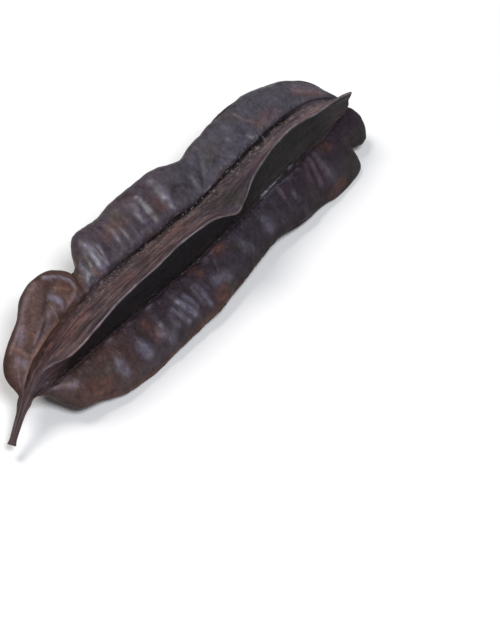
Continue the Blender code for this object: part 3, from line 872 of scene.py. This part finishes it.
class Nodes:
    """A short way to write a material's nodes."""

    def __init__(self, material):
        material.use_nodes = True
        self.tree = material.node_tree
        self.shader = self.tree.nodes["Principled BSDF"]

    def set(self, socket, value):
        if isinstance(value, bpy.types.NodeSocket):
            self.tree.links.new(value, socket)
        else:
            socket.default_value = value

    def place(self):
        return self.tree.nodes.new("ShaderNodeTexCoord").outputs["Object"]

    def attribute(self, name, output="Fac"):
        node = self.tree.nodes.new("ShaderNodeAttribute")
        node.attribute_name = name
        return node.outputs[output]

    def attributes(self, names):
        return [self.attribute(name) for name in names.split()]

    def math(self, operation, a, b=0.0, clamp=False):
        node = self.tree.nodes.new("ShaderNodeMath")
        node.operation = operation
        node.use_clamp = clamp
        self.set(node.inputs[0], a)
        self.set(node.inputs[1], b)
        return node.outputs[0]

    def plus(self, a, b, clamp=False):
        return self.math("ADD", a, b, clamp)

    def minus(self, a, b):
        return self.math("SUBTRACT", a, b)

    def times(self, a, b, clamp=False):
        return self.math("MULTIPLY", a, b, clamp)

    def stretch(self, vector, factors):
        node = self.tree.nodes.new("ShaderNodeMapping")
        self.set(node.inputs["Vector"], vector)
        node.inputs["Scale"].default_value = factors
        return node.outputs[0]

    def noise(self, vector, scale, detail=4.0, roughness=0.55, distortion=0.0):
        node = self.tree.nodes.new("ShaderNodeTexNoise")
        self.set(node.inputs["Vector"], vector)
        node.inputs["Scale"].default_value = scale
        node.inputs["Detail"].default_value = detail
        node.inputs["Roughness"].default_value = roughness
        node.inputs["Distortion"].default_value = distortion
        return node.outputs["Fac"]

    def band(self, value, low, high, to_low=0.0, to_high=1.0):
        """Goes softly from to_low to to_high as the value goes from low to high."""
        node = self.tree.nodes.new("ShaderNodeMapRange")
        node.interpolation_type = "SMOOTHSTEP"
        self.set(node.inputs["Value"], value)
        node.inputs["From Min"].default_value = low
        node.inputs["From Max"].default_value = high
        node.inputs["To Min"].default_value = to_low
        node.inputs["To Max"].default_value = to_high
        return node.outputs["Result"]

    def mix(self, factor, a, b, blend="MIX"):
        node = self.tree.nodes.new("ShaderNodeMix")
        node.data_type = "RGBA"
        node.blend_type = blend
        self.set(node.inputs["Factor"], factor)
        self.set(node.inputs["A"], a)
        self.set(node.inputs["B"], b)
        return node.outputs["Result"]

    def tint(self, factor, colour, tint):
        return self.mix(factor, colour, tint, "MULTIPLY")

    def bump(self, height, distance, strength):
        node = self.tree.nodes.new("ShaderNodeBump")
        node.inputs["Strength"].default_value = strength
        node.inputs["Distance"].default_value = distance
        self.set(node.inputs["Height"], height)
        return node.outputs["Normal"]


def skin_material():
    """Dark leathery skin on the pulpy wings, and duller fibrous bark on the woody ones."""
    material = bpy.data.materials.new("pod_skin_fine")
    n = Nodes(material)
    place = n.place()
    grain = n.attribute("grain", "Vector")
    woody, stalk, warm, cool, edge, deep, rusty, moss, patch, pale, dip, tan = n.attributes(
        "woody stalk warm cool edge deep rusty moss patch pale dip tan")
    crease, margin, flecked, lip, flank, fibrous, shine = n.attributes(
        "crease margin flecked lip flank fibrous shine")

    clouds = n.noise(place, 55.0, 3.0)
    blotches = n.noise(place, 190.0, 4.0, 0.6, 0.5)
    mottle = n.noise(place, 560.0, 3.0, 0.6)
    specks = n.noise(place, 900.0, 3.0, 0.6)
    across = n.noise(n.stretch(grain, (4.0, 1.4, 1.0)), 1.6, 4.0, 0.55, 0.4)
    fine = n.noise(n.stretch(grain, (6.0, 2.0, 1.0)), 1.6, 3.0, 0.6, 0.6)
    lines = n.band(n.math("ABSOLUTE", n.minus(fine, 0.5)), 0.05, 0.0)

    tone = n.plus(n.times(clouds, 0.5), n.times(n.noise(place, 260.0, 3.0), 0.4))
    tone = n.plus(n.times(warm, 0.6), n.minus(tone, 0.08))
    pulpy = n.mix(n.times(cool, 0.8), PLUM, SLATE)
    pulpy = n.mix(n.band(tone, 0.38, 0.85), pulpy, BROWN)
    pulpy = n.mix(n.band(n.noise(place, 120.0, 4.0), 0.5, 0.68, 0.0, 0.5), pulpy, OLIVE)
    pulpy = n.mix(n.band(blotches, 0.52, 0.75, 0.0, 0.55), pulpy, DARK)
    # Painted shade: the lower pulpy wing is tinted darker.
    pulpy = n.tint(deep, pulpy, LOWER_WING_SHADE_TINT)
    pulpy = n.mix(n.times(n.band(blotches, 0.42, 0.25), n.band(tone, 0.45, 0.9)), pulpy, RUST)
    # Painted shade in the rib hollows, in the folds and towards the lower wing's edge.
    pulpy = n.mix(n.times(dip, 0.45), pulpy, DARK)
    pulpy = n.mix(n.times(edge, 0.85), pulpy, EDGE)
    pulpy = n.mix(n.times(rusty, n.band(blotches, 0.62, 0.4, 0.25, 0.8)), pulpy, RUST)
    # The waxy bloom and the painted highlights.
    bloom_and_highlight = n.times(pale, n.band(across, 0.38, 0.62, 0.5, 1.0))
    pulpy = n.mix(n.times(bloom_and_highlight, 0.75), pulpy, BLOOM_AND_HIGHLIGHT)

    streaks = n.noise(n.stretch(grain, (0.3, 2.4, 1.0)), 2.2, 5.0, 0.6, 0.3)
    threads = n.noise(n.stretch(grain, (0.45, 7.0, 1.0)), 1.6, 3.0, 0.6)
    patches = n.noise(n.stretch(grain, (0.5, 1.1, 1.0)), 1.6, 4.0, 0.6)
    bark = n.mix(n.band(patches, 0.40, 0.60), BARK_GREY, BARK_BROWN)
    bark = n.mix(n.band(streaks, 0.54, 0.38, 0.0, 0.6), bark, STREAK_DARK)
    bark = n.mix(n.band(streaks, 0.54, 0.66, 0.0, 0.4), bark, STREAK_PALE)
    bark = n.mix(n.band(threads, 0.55, 0.68, 0.0, 0.4), bark, THREAD_PALE)
    bark = n.mix(n.band(threads, 0.45, 0.34, 0.0, 0.45), bark, THREAD_DARK)
    bark = n.mix(n.times(cool, 0.45), bark, BARK_SLATE)
    bark = n.mix(n.times(rusty, n.band(streaks, 0.35, 0.6, 0.2, 0.7)), bark, BARK_RUST)
    ragged = n.times(margin, n.band(mottle, 0.36, 0.6, 0.25, 1.0))
    bark = n.mix(n.times(ragged, 0.8), bark, BARK_MARGIN)
    bark = n.mix(n.band(lip, 0.55, 0.85, 0.0, 0.85), bark, LIP_PALE)
    bark = n.mix(n.band(lip, 0.45, 0.1, 0.0, 0.6), bark, LIP_DARK)
    bark = n.tint(warm, bark, WARM_TINT)
    # Painted shade: the valley face under the bark is tinted nearly black.
    bark = n.tint(flank, bark, VALLEY_SHADE_TINT)

    colour = n.tint(1.0, n.mix(woody, pulpy, bark), patch)
    colour = n.mix(n.times(moss, 0.6), colour, MOSS)
    drawn = n.plus(n.minus(0.3, n.times(woody, 0.3)), n.times(deep, 0.3))
    colour = n.tint(n.times(lines, drawn), colour, LINE_TINT)
    colour = n.tint(n.band(mottle, 0.35, 0.65, 0.0, 0.45), colour, MOTTLE_TINT)
    colour = n.mix(n.times(tan, 0.65), colour, TAN)
    rim = n.plus(n.band(crease, 0.08, 0.4), n.times(margin, 0.8))
    flecks = n.times(n.band(specks, 0.57, 0.66), rim, True)
    flecks = n.times(n.times(flecks, flecked), n.minus(1.0, n.times(flank, 0.8)))
    # Painted shade: the creases turn nearly black.
    colour = n.mix(n.band(crease, 0.4, 0.95, 0.0, 0.9), colour, CREASE_SHADE)
    colour = n.mix(n.times(flecks, 0.5), colour, FLECK)
    # Pale fibres by the valley's crease, brightened as a painted highlight.
    colour = n.mix(n.times(fibrous, n.band(mottle, 0.35, 0.62, 0.2, 0.85)), colour, FIBRE_AND_HIGHLIGHT)
    stem = n.mix(n.band(threads, 0.4, 0.62), STALK_DARK, STALK_PALE)
    n.set(n.shader.inputs["Base Color"], n.mix(stalk, colour, stem))

    gloss = n.plus(n.times(across, 0.4), n.times(blotches, 0.6))
    rough = n.plus(n.band(gloss, 0.35, 0.65, 0.46, 0.62), n.times(woody, 0.25), True)
    n.set(n.shader.inputs["Roughness"], rough)
    n.shader.inputs["Specular IOR Level"].default_value = 0.12
    polish = n.plus(n.band(gloss, 0.6, 0.4, 0.25, 0.52), n.times(pale, 0.45))
    n.set(n.shader.inputs["Coat Weight"], n.times(polish, shine, True))
    n.shader.inputs["Coat Roughness"].default_value = 0.38
    leather = n.plus(n.times(across, 0.5), n.times(mottle, 0.4))
    leather = n.minus(leather, n.times(lines, 0.15))
    fibres = n.plus(n.times(streaks, 0.6), n.times(threads, 0.9))
    n.set(n.shader.inputs["Normal"], n.bump(n.mix(woody, leather, fibres), 0.0007, 0.8))
    return material


def floor_material():
    material = bpy.data.materials.new("pale_floor")
    n = Nodes(material)
    n.set(n.shader.inputs["Base Color"], n.mix(n.noise(n.place(), 3.0, 2.0), *FLOOR_COLOURS))
    n.shader.inputs["Roughness"].default_value = 0.7
    return material


def make_floor():
    data = bpy.data.meshes.new("floor")
    half = FLOOR_HALF_SIZE
    corners = [(-half, -half, 0), (half, -half, 0), (half, half, 0), (-half, half, 0)]
    data.from_pydata(corners, [], [(0, 1, 2, 3)])
    floor = bpy.data.objects.new("floor", data)
    floor.location = (0, 0, -FLOOR_DROP)
    data.materials.append(floor_material())
    bpy.context.scene.collection.objects.link(floor)


def aim(thing, target):
    direction = Vector(target) - thing.location
    thing.rotation_euler = direction.to_track_quat("-Z", "Y").to_euler()


def soft_light(name, place, size, power, colour):
    data = bpy.data.lights.new(name, "AREA")
    data.shape = "DISK"
    data.size = size
    data.energy = power
    data.color = colour
    light = bpy.data.objects.new(name, data)
    light.location = place
    bpy.context.scene.collection.objects.link(light)
    aim(light, LIGHT_TARGET)


def make_light():
    world = bpy.data.worlds.new("studio")
    bpy.context.scene.world = world
    world.use_nodes = True
    background = world.node_tree.nodes["Background"]
    background.inputs["Color"].default_value = WORLD_COLOUR
    background.inputs["Strength"].default_value = WORLD_STRENGTH
    for light in LIGHTS:
        soft_light(*light)


def make_camera():
    data = bpy.data.cameras.new("camera")
    data.lens = CAMERA_LENS
    data.sensor_width = SENSOR_WIDTH
    data.clip_start = NEAREST_SEEN
    camera = bpy.data.objects.new("camera", data)
    camera.location = CAMERA_PLACE
    bpy.context.scene.collection.objects.link(camera)
    aim(camera, CAMERA_TARGET)
    bpy.context.scene.camera = camera


def main():
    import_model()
    skin = make_skin(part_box("pod"))
    skin.data.materials.append(skin_material())
    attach(skin, "root")
    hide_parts("pod")
    make_floor()
    make_light()
    make_camera()
    bpy.context.scene.view_settings.view_transform = "Standard"


main()
